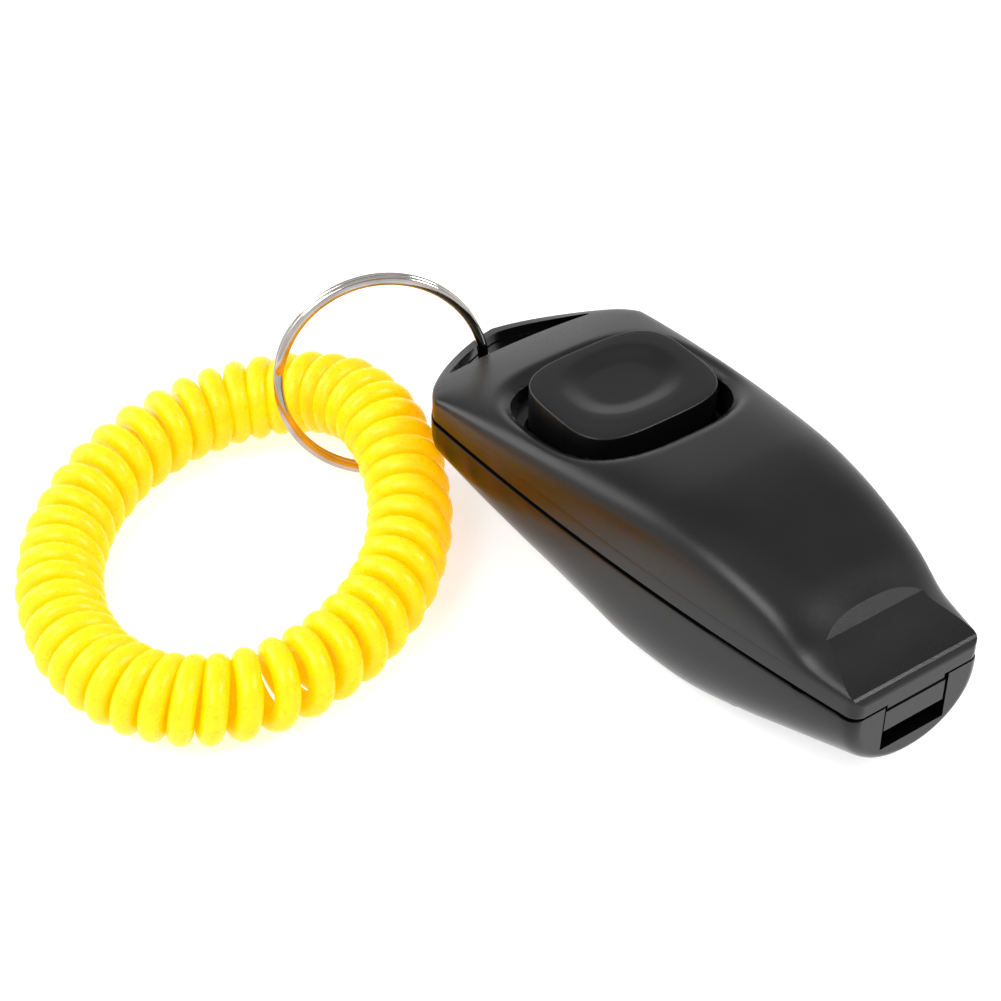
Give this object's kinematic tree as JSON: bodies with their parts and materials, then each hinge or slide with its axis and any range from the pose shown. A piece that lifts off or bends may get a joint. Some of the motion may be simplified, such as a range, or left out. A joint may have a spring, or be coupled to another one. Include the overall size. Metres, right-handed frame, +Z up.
{
  "type": "clicker trainer",
  "caption": "Whistle and push-button clicker in one moulded body, with a split ring and a spiral wrist coil on its strap slot.",
  "frame": {"origin": "on the belly's resting land plane, under the middle of the clicker body's length and width (the split ring and the coil are left out of that box)", "axes": "+X along the body from the ring end to the mouthpiece, +Z up through the button, +Y across the body, away from the side the coil lies on"},
  "size_m": [0.0909, 0.0782, 0.0251],
  "materials": {
    "shell_black": "fine satin moulded ABS",
    "button_black": "satin moulded ABS with a glossier side wall",
    "insert_black": "satin moulded ABS",
    "spring_steel": "rolled spring steel",
    "screw_steel": "zinc-plated screw steel",
    "nickel_wire": "polished nickel plate",
    "coil_yellow": "glossy translucent flexible plastic"
  },
  "bodies": {
    "housing": {"upper_shell": "shell_black", "lower_shell": "shell_black", "whistle_insert": "insert_black", "plate_screw_left": "screw_steel", "plate_screw_right": "screw_steel", "housing_screw_rear": "screw_steel", "housing_screw_middle": "screw_steel"},
    "button": {"button_cap": "button_black"},
    "plate": {"click_plate": "spring_steel"},
    "ring": {"split_ring": "nickel_wire"},
    "coil": {"wrist_coil": "coil_yellow"}
  },
  "joints": [
    {"name": "button_press", "type": "slide", "parent": "housing", "child": "button", "axis": [0, 0, -1], "range_m": [0, 0.0014], "stiffness_N_per_m": 900, "springref_m": -0.0004},
    {"name": "plate_flex", "type": "hinge", "parent": "housing", "child": "plate", "pos_m": [-0.0215, 0, 0.009], "axis": [0, 1, 0], "range_deg": [0, 5.5]},
    {"name": "ring_swing", "type": "hinge", "parent": "housing", "child": "ring", "pos_m": [-0.03163, -0.00352, 0.0132], "axis": [0, 0, -1], "range_deg": [0, 25]},
    {"name": "coil_swing", "type": "hinge", "parent": "ring", "child": "coil", "pos_m": [-0.036, -0.0155, 0.008], "axis": [0, 0, -1], "range_deg": [0, 15]}
  ],
  "couplings": [
    {"joint": "plate_flex", "follows": "button_press", "rad_per_m": 68}
  ]
}
